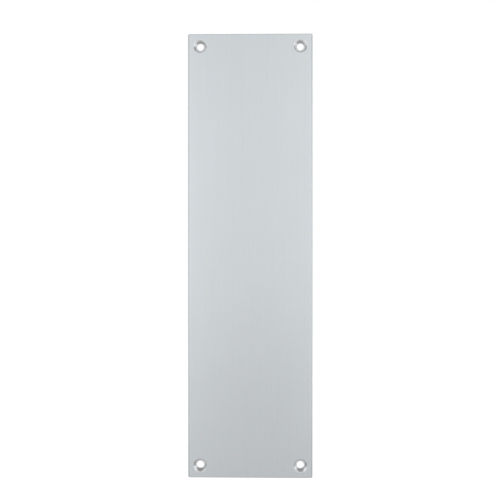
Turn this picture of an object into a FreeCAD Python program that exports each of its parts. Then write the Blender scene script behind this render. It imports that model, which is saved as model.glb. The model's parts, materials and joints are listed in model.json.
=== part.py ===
# Door finger plate: a length of flat aluminium bar with eased front edges,
# screwed to a door through four countersunk holes. It is one piece.
#
# Millimetres. The origin is the centre of the back face, which lies on the door.
# X runs across the plate, Z runs up its length, and the front face looks along -Y.

import FreeCAD
import Part
import Sketcher
import math
import os

NODE = "finger_plate"

DRIVING_SIZES = [
    ("plate_length", 270.0, "top end to bottom end"),
    ("plate_width", 76.0, "side to side, the width of the bar"),
    ("plate_thickness", 3.0, "back face to front face"),
    ("long_edge_radius", 1.5, "round along the two long front edges of the bar"),
    ("end_edge_radius", 0.5, "round worked on the two sawn ends"),
    ("back_edge_break", 0.25, "small chamfer that takes the burr off the back face"),
    ("hole_inset_side", 7.5, "screw hole centre to the nearest long side"),
    ("hole_inset_end", 7.5, "screw hole centre to the nearest end"),
    ("bore_diameter", 4.2, "clearance bore for a 4 mm wood screw"),
    ("countersink_diameter", 8.0, "mouth of the countersink in the front face"),
    ("countersink_angle", 90.0, "whole angle of the countersink, in degrees"),
]

# One screw hole stands near each corner of the plate.
SCREW_HOLES = 4

# How constraints number the points of a sketched line, arc or circle, and the sketch's own origin.
START, END, CENTRE = 1, 2, 3
ORIGIN = (-1, 1)

# A corner closer to a plane than this lies on it.
ON_PLANE = 1e-4

# On a thin plate the long rounds stop short of the back chamfer, by the chamfer's own size.
EDGE_ROUND = "min(sizes.long_edge_radius; sizes.plate_thickness - 2 * sizes.back_edge_break)"

# The back chamfer stays inside the small round of the plate's corners.
BACK_CHAMFER = "min(sizes.back_edge_break; 0.8 * sizes.end_edge_radius)"


def add_sizes(doc):
    """The sheet of driving sizes: a note in column A, the number and its alias in column B."""
    sheet = doc.addObject("Spreadsheet::Sheet", "sizes")
    for row, (alias, number, note) in enumerate(DRIVING_SIZES, start=1):
        sheet.set(f"A{row}", note)
        sheet.set(f"B{row}", str(number))
        sheet.setAlias(f"B{row}", alias)
    doc.recompute()
    return sheet


def new_sketch(body, name, plane_role):
    """An empty sketch on one of the body's own origin planes."""
    plane = next(p for p in body.Origin.OriginFeatures if p.Role == plane_role)
    sketch = body.newObject("Sketcher::SketchObject", name)
    sketch.AttachmentSupport = (plane, "")
    sketch.MapMode = "FlatFace"
    return sketch


def constrain(sketch, *constraint):
    """A geometric constraint, or a dimension when the last value is a number; returns its index."""
    return sketch.addConstraint(Sketcher.Constraint(*constraint))


def dimension(sketch, name, formula, *constraint):
    """A named dimension that follows a formula of the sheet's sizes."""
    index = constrain(sketch, *constraint)
    sketch.renameConstraint(index, name)
    sketch.setExpression(f"Constraints.{name}", formula)


def add_line(sketch, start, end, construction=False):
    """A straight line between two (x, y) points of the sketch."""
    segment = Part.LineSegment(FreeCAD.Vector(*start, 0), FreeCAD.Vector(*end, 0))
    return sketch.addGeometry(segment, construction)


def add_circle(sketch, centre, radius):
    """A full circle about an (x, y) point of the sketch."""
    return sketch.addGeometry(Part.Circle(FreeCAD.Vector(*centre, 0), FreeCAD.Vector(0, 0, 1), radius))


def add_arc(sketch, centre, radius, start_deg, end_deg):
    """A circular arc about an (x, y) point, running anticlockwise between two angles."""
    circle = Part.Circle(FreeCAD.Vector(*centre, 0), FreeCAD.Vector(0, 0, 1), radius)
    return sketch.addGeometry(Part.ArcOfCircle(circle, math.radians(start_deg), math.radians(end_deg)))


def draw_bar_section(body, sheet):
    """The bar's cross-section: a flat back on the door, square sides and two rounded front corners."""
    sketch = new_sketch(body, "bar_section", "XY_Plane")
    side = sheet.plate_width / 2
    front = -sheet.plate_thickness
    radius = sheet.evalExpression(EDGE_ROUND)
    flat = side - radius
    shoulder = front + radius

    back_line = add_line(sketch, (side, 0), (-side, 0))
    left_side = add_line(sketch, (-side, 0), (-side, shoulder))
    left_round = add_arc(sketch, (-flat, shoulder), radius, 180, 270)
    front_line = add_line(sketch, (-flat, front), (flat, front))
    right_round = add_arc(sketch, (flat, shoulder), radius, 270, 360)
    right_side = add_line(sketch, (side, shoulder), (side, 0))

    constrain(sketch, "Coincident", back_line, END, left_side, START)
    constrain(sketch, "Tangent", left_side, END, left_round, START)
    constrain(sketch, "Tangent", left_round, END, front_line, START)
    constrain(sketch, "Tangent", front_line, END, right_round, START)
    constrain(sketch, "Tangent", right_round, END, right_side, START)
    constrain(sketch, "Coincident", right_side, END, back_line, START)
    constrain(sketch, "Horizontal", back_line)
    constrain(sketch, "Horizontal", front_line)
    constrain(sketch, "Vertical", left_side)
    constrain(sketch, "Vertical", right_side)
    constrain(sketch, "Equal", left_round, right_round)
    constrain(sketch, "Symmetric", back_line, START, back_line, END, *ORIGIN)

    dimension(sketch, "width", "sizes.plate_width",
              "DistanceX", back_line, END, back_line, START, sheet.plate_width)
    dimension(sketch, "thickness", "sizes.plate_thickness",
              "DistanceY", front_line, START, back_line, END, sheet.plate_thickness)
    dimension(sketch, "edge_round", EDGE_ROUND, "Radius", left_round, radius)
    return sketch


def extrude_bar(body, section):
    """The bar cut to length, half above the origin and half below."""
    bar = body.newObject("PartDesign::Pad", "bar")
    bar.Profile = section
    bar.SideType = "Symmetric"
    bar.setExpression("Length", "sizes.plate_length")
    return bar


def edge_names(shape, belongs):
    """Names of the edges whose every corner passes the test."""
    return [f"Edge{number}" for number, edge in enumerate(shape.Edges, start=1)
            if all(belongs(corner.Point) for corner in edge.Vertexes)]


def ease_ends(body, bar, sheet):
    """The arris of each sawn end rounded, along the sides and across the front."""
    half = sheet.plate_length / 2
    back = set(edge_names(bar.Shape, lambda p: abs(p.y) < ON_PLANE))
    top = edge_names(bar.Shape, lambda p: abs(p.z - half) < ON_PLANE)
    bottom = edge_names(bar.Shape, lambda p: abs(p.z + half) < ON_PLANE)

    eased = body.newObject("PartDesign::Fillet", "eased_ends")
    eased.Base = (bar, [name for name in top + bottom if name not in back])
    eased.setExpression("Radius", "sizes.end_edge_radius")
    return eased


def break_back_edge(body, eased):
    """A small chamfer round the whole back face, so that it beds flat and doesn't mark the door."""
    broken = body.newObject("PartDesign::Chamfer", "broken_back_edge")
    broken.Base = (eased, edge_names(eased.Shape, lambda p: abs(p.y) < ON_PLANE))
    broken.setExpression("Size", BACK_CHAMFER)
    return broken


def draw_screw_holes(body, sheet):
    """Four bore circles on the corners of a construction rectangle, drawn on the front face."""
    sketch = new_sketch(body, "screw_hole_places", "XZ_Plane")
    sketch.setExpression("AttachmentOffset.Base.z", "sizes.plate_thickness")
    across = sheet.plate_width / 2 - sheet.hole_inset_side
    along = sheet.plate_length / 2 - sheet.hole_inset_end
    corners = [(-across, -along), (across, -along), (across, along), (-across, along)]

    lines = [add_line(sketch, start, end, construction=True)
             for start, end in zip(corners, corners[1:] + corners[:1])]
    for line, next_line in zip(lines, lines[1:] + lines[:1]):
        constrain(sketch, "Coincident", line, END, next_line, START)
    bottom, right, top, left = lines
    for line in (bottom, top):
        constrain(sketch, "Horizontal", line)
    for line in (left, right):
        constrain(sketch, "Vertical", line)
    constrain(sketch, "Symmetric", bottom, START, right, END, *ORIGIN)
    dimension(sketch, "across", "sizes.plate_width - 2 * sizes.hole_inset_side",
              "DistanceX", bottom, START, bottom, END, 2 * across)
    dimension(sketch, "along", "sizes.plate_length - 2 * sizes.hole_inset_end",
              "DistanceY", right, START, right, END, 2 * along)

    circles = [add_circle(sketch, corner, sheet.bore_diameter / 2) for corner in corners]
    for circle, line in zip(circles, lines):
        constrain(sketch, "Coincident", circle, CENTRE, line, START)
    for circle in circles[1:]:
        constrain(sketch, "Equal", circles[0], circle)
    dimension(sketch, "bore", "sizes.bore_diameter", "Diameter", circles[0], sheet.bore_diameter)
    return sketch


def drill_and_countersink(doc, body, places):
    """The four screw holes, drilled right through and countersunk from the front."""
    holes = body.newObject("PartDesign::Hole", "screw_holes")
    holes.Profile = places
    doc.recompute()
    holes.Threaded = False
    holes.DepthType = "ThroughAll"
    holes.HoleCutType = "Countersink"
    holes.HoleCutCustomValues = True
    holes.setExpression("Diameter", "sizes.bore_diameter")
    holes.setExpression("HoleCutDiameter", "sizes.countersink_diameter")
    holes.setExpression("HoleCutCountersinkAngle", "sizes.countersink_angle")
    return holes


def check_features(doc):
    """Stop if any object of the document failed to compute."""
    failed = [item.Name for item in doc.Objects if {"Invalid", "Error"} & set(item.State)]
    if failed:
        raise RuntimeError(f"failed to compute: {failed}")


def check_plate(body, blank, sheet):
    """Stop unless the plate is one sound solid whose screw holes go right through."""
    shape = body.Shape
    if shape.isNull() or not shape.isValid() or len(shape.Solids) != 1:
        raise RuntimeError("the plate is not one valid solid")
    bores = SCREW_HOLES * math.pi * (sheet.bore_diameter / 2) ** 2 * sheet.plate_thickness
    if blank.Shape.Volume - shape.Volume <= bores:
        raise RuntimeError("the countersunk holes do not pass through the plate")


doc = FreeCAD.newDocument("door_finger_plate")
sheet = add_sizes(doc)

plate = doc.addObject("PartDesign::Body", NODE)
plate.Label = NODE
plate.Placement = FreeCAD.Placement()

bar = extrude_bar(plate, draw_bar_section(plate, sheet))
doc.recompute()
eased_bar = ease_ends(plate, bar, sheet)
doc.recompute()
blank = break_back_edge(plate, eased_bar)
doc.recompute()
drill_and_countersink(doc, plate, draw_screw_holes(plate, sheet))
doc.recompute()

check_features(doc)
check_plate(plate, blank, sheet)

os.makedirs("parts", exist_ok=True)
plate.Shape.exportStep(f"parts/{plate.Label}.step")
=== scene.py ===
import bpy
import json
import math
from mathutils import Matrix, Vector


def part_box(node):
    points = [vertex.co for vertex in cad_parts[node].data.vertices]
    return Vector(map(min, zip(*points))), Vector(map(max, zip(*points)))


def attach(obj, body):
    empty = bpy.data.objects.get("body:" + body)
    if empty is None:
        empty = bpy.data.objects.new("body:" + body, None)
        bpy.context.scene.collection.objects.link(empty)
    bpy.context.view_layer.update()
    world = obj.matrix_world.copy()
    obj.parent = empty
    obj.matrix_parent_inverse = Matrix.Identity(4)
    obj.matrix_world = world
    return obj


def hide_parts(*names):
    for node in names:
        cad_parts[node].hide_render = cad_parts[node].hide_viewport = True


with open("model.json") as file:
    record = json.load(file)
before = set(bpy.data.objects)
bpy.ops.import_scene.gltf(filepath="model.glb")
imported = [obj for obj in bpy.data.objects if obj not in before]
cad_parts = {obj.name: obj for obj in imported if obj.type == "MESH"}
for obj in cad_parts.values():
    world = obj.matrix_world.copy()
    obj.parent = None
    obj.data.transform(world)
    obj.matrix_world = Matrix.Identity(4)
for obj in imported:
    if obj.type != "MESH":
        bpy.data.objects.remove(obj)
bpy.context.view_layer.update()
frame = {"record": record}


# Finger plate: one length of flat aluminium bar, extruded with its two long front edges rounded.
# It is sawn to length, eased at the ends, drilled and countersunk for four wood screws,
# then etched, rubbed lengthwise and satin anodised. Four screws hold it flat on the door.

plate_low, plate_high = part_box("finger_plate")
screw_holes = next(mount for mount in frame["record"]["mounts"] if mount["name"] == "screw_holes")
hole_pattern = screw_holes["dims"]
MM_PER_METRE = 1000

PLATE_SIZES = {
    "Plate Width": plate_high[0] - plate_low[0],
    "Plate Thickness": plate_high[1] - plate_low[1],
    "Plate Length": plate_high[2] - plate_low[2],
    "Long Edge Radius": 0.0015,
    "End Edge Radius": 0.0005,
    "Back Edge Break": 0.00025,
    "Holes Across": hole_pattern["spacing_x_mm"] / MM_PER_METRE,
    "Holes Along": hole_pattern["spacing_y_mm"] / MM_PER_METRE,
    "Bore Diameter": 2 * hole_pattern["hole_r_mm"] / MM_PER_METRE,
    "Countersink Diameter": 0.008,
    "Countersink Half Angle": math.radians(45),
    "Mouth Break": 0.00008,
    "Mouth Break Half Angle": math.radians(67.5),
    "Back Rim Break": 0.00015,
    "Back Rim Half Angle": math.radians(45),
}


def put(tree, kind, inputs=None, **settings):
    """A new node with its settings, each input set to a value or joined to a node or to an output."""
    node = tree.nodes.new(kind)
    for name, value in settings.items():
        setattr(node, name, value)
    for socket, value in (inputs or {}).items():
        if isinstance(value, bpy.types.Node):
            value = value.outputs[0]
        if isinstance(value, bpy.types.NodeSocket):
            tree.links.new(value, node.inputs[socket])
        else:
            node.inputs[socket].default_value = value
    return node


def calc(tree, operation, *values):
    """One step of arithmetic on values and outputs, such as ADD or MULTIPLY."""
    return put(tree, "ShaderNodeMath", dict(enumerate(values)), operation=operation)


def spread(tree, value, to_min, to_max, from_min=0.0, from_max=1.0):
    """A value taken from one range to another, held at the ends of the range."""
    ranges = {"From Min": from_min, "From Max": from_max, "To Min": to_min, "To Max": to_max}
    return put(tree, "ShaderNodeMapRange", {"Value": value, **ranges})


def weigh(tree, *layers):
    """The sum of several patterns, each times its share."""
    total = 0.0
    for pattern, share in layers:
        total = calc(tree, "MULTIPLY_ADD", pattern, share, total)
    return total


def hypotenuse(tree, first, second):
    """How far off a point lies whose two offsets are these."""
    squares = calc(tree, "MULTIPLY_ADD", first, first, calc(tree, "MULTIPLY", second, second))
    return calc(tree, "SQRT", squares)


def off_hole(tree, coordinate, spacing):
    """Offset from the centre of the nearest hole, along one axis of the plate."""
    half_spacing = calc(tree, "MULTIPLY", spacing, 0.5)
    return calc(tree, "SUBTRACT", calc(tree, "ABSOLUTE", coordinate), half_spacing)


# Where a Mix node keeps its two colours and their result, after its sockets for numbers and vectors.
MIX_FIRST = 6
MIX_SECOND = 7
MIX_RESULT = 2


def blend(tree, share, first, second):
    """A colour that goes from the first to the second as the share goes from 0 to 1."""
    colours = {"Factor": share, MIX_FIRST: first, MIX_SECOND: second}
    return put(tree, "ShaderNodeMix", colours, data_type="RGBA").outputs[MIX_RESULT]


def new_group(name, kind, inputs, outputs):
    """A node group with named sockets, and what it is given inside."""
    group = bpy.data.node_groups.new(name, kind)
    for label, socket_type in inputs.items():
        group.interface.new_socket(label, in_out="INPUT", socket_type=socket_type)
    for label, socket_type in outputs.items():
        group.interface.new_socket(label, in_out="OUTPUT", socket_type=socket_type)
    return group, put(group, "NodeGroupInput").outputs


FLOAT = "NodeSocketFloat"
VECTOR = "NodeSocketVector"

# Lines that a tool leaves: noise drawn out along Z, used by the rubbed satin and by the cut countersinks.
tool_lines, given = new_group("tool_lines", "ShaderNodeTree",
                              {"Vector": VECTOR, "Line Width": FLOAT, "Line Length": FLOAT},
                              {"Lines": FLOAT})
line_size = put(tool_lines, "ShaderNodeCombineXYZ",
                {"X": given["Line Width"], "Y": given["Line Width"], "Z": given["Line Length"]})
line_place = put(tool_lines, "ShaderNodeVectorMath", {0: given["Vector"], 1: line_size}, operation="DIVIDE")
line_noise = put(tool_lines, "ShaderNodeTexNoise",
                 {"Vector": line_place, "Scale": 1.0, "Detail": 3.0, "Roughness": 0.6})
put(tool_lines, "NodeGroupOutput", {"Lines": line_noise})

# Pits of the caustic etch that gives the metal its satin, much finer than the lines.
etch_pits, given = new_group("etch_pits", "ShaderNodeTree",
                             {"Vector": VECTOR, "Pit Size": FLOAT},
                             {"Pits": FLOAT})
pits_per_metre = calc(etch_pits, "DIVIDE", 1.0, given["Pit Size"])
pit_noise = put(etch_pits, "ShaderNodeTexNoise",
                {"Vector": given["Vector"], "Scale": pits_per_metre, "Detail": 2.0, "Roughness": 0.5})
put(etch_pits, "NodeGroupOutput", {"Pits": pit_noise})

# Noise keeps mostly between these two values.
NOISE_RANGE = (0.3, 0.7)


def new_finish(name):
    """A material and its node tree, still empty."""
    finish = bpy.data.materials.new(name)
    finish.use_nodes = True
    finish.node_tree.nodes.clear()
    return finish, finish.node_tree


# Satin anodised aluminium, a cool grey. The faces are rubbed along the bar, the sawn ends across it.
SATIN_DARK = (0.551, 0.579, 0.601, 1.0)
SATIN_LIGHT = (0.582, 0.612, 0.635, 1.0)
SATIN_ROUGHNESS = (0.28, 0.36)
END_ROUGHNESS = (0.32, 0.42)
FINE_LINES = {"Line Width": 0.00022, "Line Length": 0.014}
BROAD_LINES = {"Line Width": 0.0018, "Line Length": 0.11}
SATIN_PIT_SIZE = 0.00012
BLOOMS_PER_METRE = 28.0
FINE_SHARE = 0.5
BROAD_SHARE = 0.25
BLOOM_SHARE = 0.25
PIT_SHARE = 0.5
RUBBED_DEPTH = 0.00002
RUBBED_STRENGTH = 0.25


def satin_finish(name, rubbed_along, roughness):
    """Satin metal whose lines run along one axis of the plate, with its roughness between two values."""
    finish, nodes = new_finish(name)
    place = put(nodes, "ShaderNodeTexCoord").outputs["Object"]
    x, y, z = put(nodes, "ShaderNodeSeparateXYZ", {"Vector": place}).outputs
    if rubbed_along == "X":
        x, z = z, x
    rubbed = put(nodes, "ShaderNodeCombineXYZ", {"X": x, "Y": y, "Z": z})
    fine = put(nodes, "ShaderNodeGroup", {"Vector": rubbed, **FINE_LINES}, node_tree=tool_lines)
    broad = put(nodes, "ShaderNodeGroup", {"Vector": rubbed, **BROAD_LINES}, node_tree=tool_lines)
    pits = put(nodes, "ShaderNodeGroup", {"Vector": place, "Pit Size": SATIN_PIT_SIZE}, node_tree=etch_pits)
    bloom = put(nodes, "ShaderNodeTexNoise", {"Vector": place, "Scale": BLOOMS_PER_METRE, "Detail": 2.0})

    tone = weigh(nodes, (broad, BROAD_SHARE), (fine, FINE_SHARE), (bloom, BLOOM_SHARE))
    colour = blend(nodes, spread(nodes, tone, 0.0, 1.0, *NOISE_RANGE), SATIN_DARK, SATIN_LIGHT)
    grain = weigh(nodes, (fine, FINE_SHARE), (pits, PIT_SHARE))
    rough = spread(nodes, grain, *roughness, *NOISE_RANGE)
    height = weigh(nodes, (fine, 1.0), (pits, PIT_SHARE))
    bump = put(nodes, "ShaderNodeBump",
               {"Height": height, "Strength": RUBBED_STRENGTH, "Distance": RUBBED_DEPTH})
    metal = put(nodes, "ShaderNodeBsdfPrincipled",
                {"Base Color": colour, "Metallic": 1.0, "Roughness": rough, "Normal": bump})
    put(nodes, "ShaderNodeOutputMaterial", {"Surface": metal})
    return finish


satin = satin_finish("satin_anodised_aluminium", "Z", SATIN_ROUGHNESS)
rubbed_end = satin_finish("rubbed_end_aluminium", "X", END_ROUGHNESS)

# Bare metal in the countersinks, brighter where the cutter left rings round each hole.
CUT_DARK = (0.64, 0.65, 0.66, 1.0)
CUT_LIGHT = (0.78, 0.79, 0.80, 1.0)
CUT_ROUGHNESS = (0.20, 0.30)
RING_LINES = {"Line Width": 0.00012, "Line Length": 1.0}
CUT_PIT_SIZE = 0.0001
CHATTER_LOBES = 7
CHATTER_SHARE = 0.15
RING_DEPTH = 0.000008
RING_STRENGTH = 0.35

bright_cut, nodes = new_finish("bright_cut_aluminium")
place = put(nodes, "ShaderNodeTexCoord").outputs["Object"]
across, depth, along = put(nodes, "ShaderNodeSeparateXYZ", {"Vector": place}).outputs
off_across = off_hole(nodes, across, PLATE_SIZES["Holes Across"])
off_along = off_hole(nodes, along, PLATE_SIZES["Holes Along"])
turn = calc(nodes, "ARCTAN2", off_along, off_across)

# A number of its own for each of the four holes keeps their rings and their chatter apart.
hole_number = weigh(nodes, (calc(nodes, "SIGN", along), 1.0), (calc(nodes, "SIGN", across), 2.0))
ring_place = put(nodes, "ShaderNodeCombineXYZ",
                 {"X": hypotenuse(nodes, off_across, off_along), "Y": depth, "Z": hole_number})
rings = put(nodes, "ShaderNodeGroup", {"Vector": ring_place, **RING_LINES}, node_tree=tool_lines)
chatter = calc(nodes, "SINE", calc(nodes, "MULTIPLY_ADD", turn, CHATTER_LOBES, hole_number))
pits = put(nodes, "ShaderNodeGroup", {"Vector": place, "Pit Size": CUT_PIT_SIZE}, node_tree=etch_pits)

colour = blend(nodes, spread(nodes, rings, 0.0, 1.0, *NOISE_RANGE), CUT_DARK, CUT_LIGHT)
rough = spread(nodes, pits, *CUT_ROUGHNESS, *NOISE_RANGE)
height = weigh(nodes, (rings, 1.0), (chatter, CHATTER_SHARE))
bump = put(nodes, "ShaderNodeBump", {"Height": height, "Strength": RING_STRENGTH, "Distance": RING_DEPTH})
metal = put(nodes, "ShaderNodeBsdfPrincipled",
            {"Base Color": colour, "Metallic": 1.0, "Roughness": rough, "Normal": bump})
put(nodes, "ShaderNodeOutputMaterial", {"Surface": metal})

PLATE_FINISHES = {"Satin Finish": satin, "Rubbed End Finish": rubbed_end, "Bright Cut Finish": bright_cut}

# The tree makes the plate as the shop does: section, bar, eased ends, then the four holes.
ROUND_STEPS = 14
END_STEPS = 8
HOLE_FACETS = 128
TOOL_CLEARANCE = 0.001
MERGE_DISTANCE = 0.000002
SHARP_ANGLE = math.radians(30)
SQUARE_ON = 0.99
TURNED_TO_FRONT = (math.radians(90), 0.0, 0.0)

tree_inputs = {**dict.fromkeys(PLATE_SIZES, FLOAT), **dict.fromkeys(PLATE_FINISHES, "NodeSocketMaterial")}
shape, given = new_group("drilled_finger_plate", "GeometryNodeTree",
                         tree_inputs, {"Plate": "NodeSocketGeometry"})
x, y, z = put(shape, "ShaderNodeSeparateXYZ", {"Vector": put(shape, "GeometryNodeInputPosition")}).outputs
half_width = calc(shape, "MULTIPLY", given["Plate Width"], 0.5)
half_length = calc(shape, "MULTIPLY", given["Plate Length"], 0.5)
front = calc(shape, "MULTIPLY", given["Plate Thickness"], -1.0)
middle = calc(shape, "MULTIPLY", given["Plate Thickness"], -0.5)

# Section of the bar, its front corners rounded and its back corners chamfered, with the back at Y = 0.
corners = put(shape, "GeometryNodeCurvePrimitiveQuadrilateral",
              {"Width": given["Plate Width"], "Height": given["Plate Thickness"]}, mode="RECTANGLE")
at_front = put(shape, "FunctionNodeCompare", {"A": y, "B": 0.0}, operation="LESS_THAN")
corner_radius = put(shape, "GeometryNodeSwitch",
                    {"Switch": at_front, "False": given["Back Edge Break"],
                     "True": given["Long Edge Radius"]}, input_type="FLOAT")
corner_steps = put(shape, "GeometryNodeSwitch", {"Switch": at_front, "False": 1, "True": ROUND_STEPS},
                   input_type="INT")
rounded = put(shape, "GeometryNodeFilletCurve",
              {"Curve": corners, "Count": corner_steps, "Radius": corner_radius}, mode="POLY")
to_door = put(shape, "ShaderNodeCombineXYZ", {"Y": middle})
section = put(shape, "GeometryNodeSetPosition", {"Geometry": rounded, "Offset": to_door})

# Stations along the bar, close together where each end is rounded.
row = calc(shape, "SUBTRACT", put(shape, "GeometryNodeInputIndex"), END_STEPS + 0.5)
step = calc(shape, "SUBTRACT", calc(shape, "ABSOLUTE", row), 0.5)
end_turn = calc(shape, "MULTIPLY", step, math.pi / 2 / END_STEPS)
straight = calc(shape, "SUBTRACT", half_length, given["End Edge Radius"])
reach = calc(shape, "MULTIPLY_ADD", calc(shape, "SINE", end_turn), given["End Edge Radius"], straight)
height = calc(shape, "MULTIPLY", calc(shape, "SIGN", row), reach)
station = put(shape, "ShaderNodeCombineXYZ", {"Z": height})
points = put(shape, "GeometryNodeMeshLine", {"Count": 2 * (END_STEPS + 1)})
stations = put(shape, "GeometryNodeSetPosition", {"Geometry": points, "Position": station})
spine = put(shape, "GeometryNodeMeshToCurve", {"Mesh": stations})
bar = put(shape, "GeometryNodeCurveToMesh", {"Curve": spine, "Profile Curve": section, "Fill Caps": True})

# Ends eased: past the straight length each section draws in along its own normal.
past_straight = calc(shape, "MAXIMUM", calc(shape, "SUBTRACT", calc(shape, "ABSOLUTE", z), straight), 0.0)
radius_squared = calc(shape, "MULTIPLY", given["End Edge Radius"], given["End Edge Radius"])
past_squared = calc(shape, "MULTIPLY", past_straight, past_straight)
rise = calc(shape, "SQRT", calc(shape, "SUBTRACT", radius_squared, past_squared))
draw_in = calc(shape, "SUBTRACT", given["End Edge Radius"], rise)
side_starts = calc(shape, "SUBTRACT", half_width, given["Long Edge Radius"])
lean_side = spread(shape, calc(shape, "ABSOLUTE", x), 0.0, 1.0, side_starts, half_width)
front_starts = calc(shape, "SUBTRACT", given["Plate Thickness"], given["Long Edge Radius"])
off_door = calc(shape, "MULTIPLY", y, -1.0)
lean_front = spread(shape, off_door, 0.0, 1.0, front_starts, given["Plate Thickness"])
back_starts = calc(shape, "MULTIPLY", given["Back Edge Break"], -1.0)
back_lean = calc(shape, "DIVIDE", given["Back Edge Break"], given["End Edge Radius"])
lean_back = spread(shape, y, 0.0, back_lean, back_starts, 0.0)
inward_x = calc(shape, "MULTIPLY", calc(shape, "MULTIPLY", lean_side, calc(shape, "SIGN", x)), -1.0)
inward_y = calc(shape, "SUBTRACT", lean_front, lean_back)
ease_x = calc(shape, "MULTIPLY", inward_x, draw_in)
ease_y = calc(shape, "MULTIPLY", inward_y, draw_in)
ease = put(shape, "ShaderNodeCombineXYZ", {"X": ease_x, "Y": ease_y})
eased = put(shape, "GeometryNodeSetPosition", {"Geometry": bar, "Offset": ease})
blank = put(shape, "GeometryNodeSetMaterial", {"Geometry": eased, "Material": given["Satin Finish"]})

# Cutters, each made upright and then turned to point into the plate.
bore_radius = calc(shape, "MULTIPLY", given["Bore Diameter"], 0.5)
back_rim_radius = calc(shape, "ADD", bore_radius, given["Back Rim Break"])
countersink_radius = calc(shape, "MULTIPLY", given["Countersink Diameter"], 0.5)
mouth_radius = calc(shape, "ADD", countersink_radius, given["Mouth Break"])
drill_length = calc(shape, "ADD", given["Plate Thickness"], 2 * TOOL_CLEARANCE)
drill = put(shape, "GeometryNodeMeshCylinder",
            {"Vertices": HOLE_FACETS, "Radius": bore_radius, "Depth": drill_length})


def front_cutter(radius, half_angle):
    """A pointed cutter that opens a hole to this radius at the front face, and the Y where it stands."""
    slope = calc(shape, "TANGENT", half_angle)
    point_depth = calc(shape, "DIVIDE", radius, slope)
    height = calc(shape, "ADD", point_depth, TOOL_CLEARANCE)
    cone = put(shape, "GeometryNodeMeshCone",
               {"Vertices": HOLE_FACETS, "Depth": height, "Radius Bottom": 0.0,
                "Radius Top": calc(shape, "MULTIPLY", height, slope)})
    return cone, calc(shape, "ADD", front, point_depth)


def back_cutter(radius, half_angle):
    """The same for a hole's rim in the back face."""
    slope = calc(shape, "TANGENT", half_angle)
    height = calc(shape, "ADD", calc(shape, "DIVIDE", radius, slope), TOOL_CLEARANCE)
    cone = put(shape, "GeometryNodeMeshCone",
               {"Vertices": HOLE_FACETS, "Depth": height, "Radius Top": 0.0,
                "Radius Bottom": calc(shape, "MULTIPLY", height, slope)})
    return cone, TOOL_CLEARANCE


cutters = [
    (drill, middle),
    front_cutter(countersink_radius, given["Countersink Half Angle"]),
    front_cutter(mouth_radius, given["Mouth Break Half Angle"]),
    back_cutter(back_rim_radius, given["Back Rim Half Angle"]),
]

hole_grid = put(shape, "GeometryNodeMeshGrid",
                {"Size X": given["Holes Across"], "Size Y": given["Holes Along"],
                 "Vertices X": 2, "Vertices Y": 2})
hole_places = put(shape, "GeometryNodeTransform", {"Geometry": hole_grid, "Rotation": TURNED_TO_FRONT})
drilled = put(shape, "GeometryNodeMeshBoolean", {"Mesh 1": blank}, operation="DIFFERENCE", solver="EXACT")
for cutter, stands_at in cutters:
    seat = put(shape, "ShaderNodeCombineXYZ", {"Y": stands_at})
    seated = put(shape, "GeometryNodeTransform",
                 {"Geometry": cutter, "Rotation": TURNED_TO_FRONT, "Translation": seat})
    at_holes = put(shape, "GeometryNodeInstanceOnPoints", {"Points": hole_places, "Instance": seated})
    cuts = put(shape, "GeometryNodeRealizeInstances", {"Geometry": at_holes})
    shape.links.new(cuts.outputs[0], drilled.inputs["Mesh 2"])

# Smooth over the rounds and sharp at the arrises.
clean = put(shape, "GeometryNodeMergeByDistance", {"Geometry": drilled, "Distance": MERGE_DISTANCE})
smooth = put(shape, "GeometryNodeSetShadeSmooth", {"Geometry": clean}, domain="FACE")
edge_angle = put(shape, "GeometryNodeInputMeshEdgeAngle").outputs["Unsigned Angle"]
is_arris = put(shape, "FunctionNodeCompare", {"A": edge_angle, "B": SHARP_ANGLE}, operation="GREATER_THAN")
creased = put(shape, "GeometryNodeSetShadeSmooth",
              {"Geometry": smooth, "Selection": is_arris, "Shade Smooth": False}, domain="EDGE")

# Rubbed metal on the sawn ends, and bare metal wherever a cutter has been.
facing = put(shape, "ShaderNodeSeparateXYZ", {"Vector": put(shape, "GeometryNodeInputNormal")}).outputs
is_end = put(shape, "FunctionNodeCompare", {"A": calc(shape, "ABSOLUTE", facing["Z"]), "B": SQUARE_ON},
             operation="GREATER_THAN")
not_face = put(shape, "FunctionNodeCompare", {"A": calc(shape, "ABSOLUTE", facing["Y"]), "B": SQUARE_ON},
               operation="LESS_THAN")
off_centre = hypotenuse(shape, off_hole(shape, x, given["Holes Across"]),
                        off_hole(shape, z, given["Holes Along"]))
near_hole = put(shape, "FunctionNodeCompare", {"A": off_centre, "B": mouth_radius}, operation="LESS_THAN")
is_cut = put(shape, "FunctionNodeBooleanMath", {0: near_hole, 1: not_face}, operation="AND")
whole = put(shape, "GeometryNodeRealizeInstances", {"Geometry": creased})
ended = put(shape, "GeometryNodeSetMaterial",
            {"Geometry": whole, "Selection": is_end, "Material": given["Rubbed End Finish"]})
finished = put(shape, "GeometryNodeSetMaterial",
               {"Geometry": ended, "Selection": is_cut, "Material": given["Bright Cut Finish"]})
put(shape, "NodeGroupOutput", {"Plate": finished})

plate = bpy.data.objects.new("anodised_finger_plate", bpy.data.meshes.new("anodised_finger_plate"))
bpy.context.scene.collection.objects.link(plate)
making = plate.modifiers.new("making", "NODES")
making.node_group = shape
for socket in shape.interface.items_tree:
    if socket.in_out == "INPUT":
        making[socket.identifier] = {**PLATE_SIZES, **PLATE_FINISHES}[socket.name]
flat_faces = plate.modifiers.new("flat_faces", "WEIGHTED_NORMAL")
flat_faces.keep_sharp = True

depsgraph = bpy.context.evaluated_depsgraph_get()
made = bpy.data.meshes.new_from_object(plate.evaluated_get(depsgraph), preserve_all_data_layers=True,
                                       depsgraph=depsgraph)
plate.modifiers.clear()
plate.data = made

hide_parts("finger_plate")
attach(plate, "root")


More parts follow.
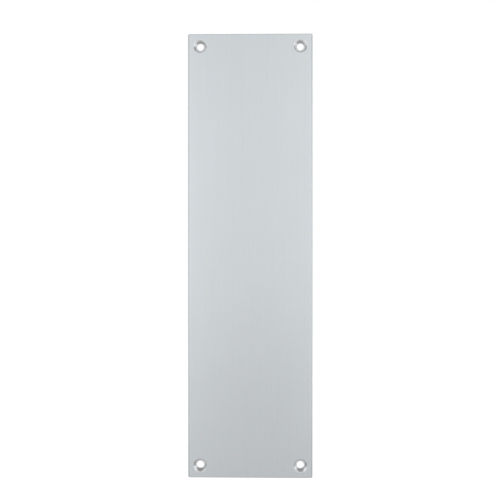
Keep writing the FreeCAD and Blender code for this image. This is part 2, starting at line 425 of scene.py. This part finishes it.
# Studio floor: a wide, matt, pale board that lies well below the plate and takes its shadow.
# It looks white to the camera. In the metal it is white behind the plate and pale before it, and right
# under the plate it shows only its lit grey. This is painted shade at the plate's foot, made by holding
# back the whitening there, and it darkens the countersinks.

FLOOR_LEVEL = -0.45
FLOOR_SPAN = 5.6
FLOOR_COLOUR = (0.50, 0.50, 0.50, 1.0)
FLOOR_ROUGHNESS = 0.9
WHITE = (1.0, 1.0, 1.0, 1.0)
WHITENING_TO_CAMERA = 0.79
WHITENING_BEHIND = 0.79
# Painted shade: the metal sees less whitening before the plate and almost none right under it.
WHITENING_BEFORE = 0.51
WHITENING_UNDER = 0.02

# Edge-on to the plate the room is dim, from these sines off its axis to its own plane.
EDGE_ON_STARTS = (0.91, 0.97)
HEIGHT_COUNTS = 1.27
EDGE_ON_ENDS = (-0.06, 0.04)


def background_rays(tree):
    """Two masks: rays from the camera, and rays off metal or through glass."""
    path = put(tree, "ShaderNodeLightPath").outputs
    return path["Is Camera Ray"], calc(tree, "MAXIMUM", path["Is Glossy Ray"], path["Is Transmission Ray"])


def edge_on(tree, direction):
    """1 for what lies beside, above or below the plate, and 0 for what it faces and what is behind."""
    side, backward, height = put(tree, "ShaderNodeSeparateXYZ", {"Vector": direction}).outputs
    off_axis = hypotenuse(tree, side, calc(tree, "MULTIPLY", height, HEIGHT_COUNTS))
    beside = spread(tree, off_axis, 0.0, 1.0, *EDGE_ON_STARTS)
    return calc(tree, "MULTIPLY", beside, spread(tree, backward, 1.0, 0.0, *EDGE_ON_ENDS))


half_span = FLOOR_SPAN / 2
floor_corners = [(-half_span, -half_span, FLOOR_LEVEL), (half_span, -half_span, FLOOR_LEVEL),
                 (half_span, half_span, FLOOR_LEVEL), (-half_span, half_span, FLOOR_LEVEL)]
floor_mesh = bpy.data.meshes.new("studio_floor")
floor_mesh.from_pydata(floor_corners, [], [(0, 1, 2, 3)])
floor = bpy.data.objects.new("studio_floor", floor_mesh)
bpy.context.scene.collection.objects.link(floor)

pale, nodes = new_finish("pale_floor")
from_plate = put(nodes, "ShaderNodeVectorMath", {0: put(nodes, "ShaderNodeTexCoord").outputs["Object"]},
                 operation="NORMALIZE")
backward = put(nodes, "ShaderNodeSeparateXYZ", {"Vector": from_plate}).outputs["Y"]
# Painted shade at the plate's foot, seen only in reflections: the whitening falls before and under the
# plate.
before_or_behind = spread(nodes, backward, WHITENING_BEFORE, WHITENING_BEHIND, *EDGE_ON_ENDS)
metal_whitening_with_painted_shade = spread(nodes, edge_on(nodes, from_plate), before_or_behind, WHITENING_UNDER)
seen, reflected = background_rays(nodes)
whitening = calc(nodes, "MULTIPLY_ADD", seen, WHITENING_TO_CAMERA,
                 calc(nodes, "MULTIPLY", reflected, metal_whitening_with_painted_shade))
paint = put(nodes, "ShaderNodeBsdfPrincipled",
            {"Base Color": FLOOR_COLOUR, "Roughness": FLOOR_ROUGHNESS, "Specular IOR Level": 0.0,
             "Emission Color": WHITE, "Emission Strength": whitening})
put(nodes, "ShaderNodeOutputMaterial", {"Surface": paint})
floor_mesh.materials.append(pale)


# Surround: a plain white studio room, which the camera sees as white.
# In the metal its sides and ceiling are dimmer edge-on to the plate, which shades the countersinks.
# It lights everything that isn't shiny at an even half strength.

AMBIENT = (0.5, 0.5, 0.5, 1.0)
SIDES = (0.34, 0.34, 0.34, 1.0)
CEILING = (0.30, 0.30, 0.30, 1.0)
CEILING_STARTS = math.sin(math.radians(40))
CEILING_WHOLE = math.sin(math.radians(62))

surround = bpy.data.worlds.new("white_surround")
surround.use_nodes = True
nodes = surround.node_tree
nodes.nodes.clear()
looking = put(nodes, "ShaderNodeTexCoord").outputs["Generated"]
looking_up = put(nodes, "ShaderNodeSeparateXYZ", {"Vector": looking}).outputs["Z"]
walls = blend(nodes, spread(nodes, looking_up, 0.0, 1.0, CEILING_STARTS, CEILING_WHOLE), SIDES, CEILING)
room = blend(nodes, edge_on(nodes, looking), WHITE, walls)
seen, reflected = background_rays(nodes)
lit = blend(nodes, reflected, AMBIENT, room)
backdrop = put(nodes, "ShaderNodeBackground", {"Color": blend(nodes, seen, lit, WHITE), "Strength": 1.0})
put(nodes, "ShaderNodeOutputWorld", {"Surface": backdrop})
bpy.context.scene.world = surround


# Soft boxes: plain white lamps behind cloth. Two large ones, left and right of the camera, light the
# plate's face, and one stands far right. Two from behind light its long edges, and one hangs over the
# floor behind.

# Degrees round from the front, degrees up and metres off, then width and height, then radiance.
SOFT_BOXES = [
    ("left_soft_box", (-31.4, 0.0, 0.90), (0.71, 0.95), 0.50),
    ("right_soft_box", (29.3, 4.0, 0.90), (0.78, 1.00), 0.33),
    ("far_right_soft_box", (80.0, 0.0, 1.0), (0.6, 0.85), 0.52),
    ("left_rim_box", (-132.0, 0.0, 1.0), (0.9, 0.8), 0.2),
    ("right_rim_box", (132.0, 0.0, 1.0), (0.9, 0.8), 0.2),
    ("floor_soft_box", (180.0, 55.0, 1.6), (1.6, 1.2), 0.6),
]
WATTS_PER_RADIANCE = math.pi

for name, (azimuth, elevation, distance), (width, height), radiance in SOFT_BOXES:
    light = bpy.data.lights.new(name, "AREA")
    light.shape = "RECTANGLE"
    light.size = width
    light.size_y = height
    light.energy = radiance * width * height * WATTS_PER_RADIANCE
    lamp = bpy.data.objects.new(name, light)
    side = math.radians(azimuth)
    up = math.radians(elevation)
    lamp.location = (distance * math.cos(up) * math.sin(side), -distance * math.cos(up) * math.cos(side),
                     distance * math.sin(up))
    lamp.rotation_euler = (math.radians(90) - up, 0.0, side)
    lamp.visible_camera = False
    bpy.context.scene.collection.objects.link(lamp)


# Camera: it looks at the front of the plate from about 0.4 m, level with its middle.
# It stands a little to the right and is turned by less than a degree, as in the photograph.

CAMERA_PLACE = (0.00543, -0.383, 0.00353)
CAMERA_YAW = math.radians(0.843)
METRES_ACROSS_FRAME = 0.3062
SENSOR_WIDTH = 36.0

view = bpy.data.cameras.new("camera")
view.sensor_width = SENSOR_WIDTH
view.lens = SENSOR_WIDTH * -CAMERA_PLACE[1] / METRES_ACROSS_FRAME
camera = bpy.data.objects.new("camera", view)
camera.location = CAMERA_PLACE
camera.rotation_euler = (math.radians(90), 0.0, CAMERA_YAW)
bpy.context.scene.collection.objects.link(camera)
bpy.context.scene.camera = camera
bpy.context.scene.view_settings.view_transform = "Standard"
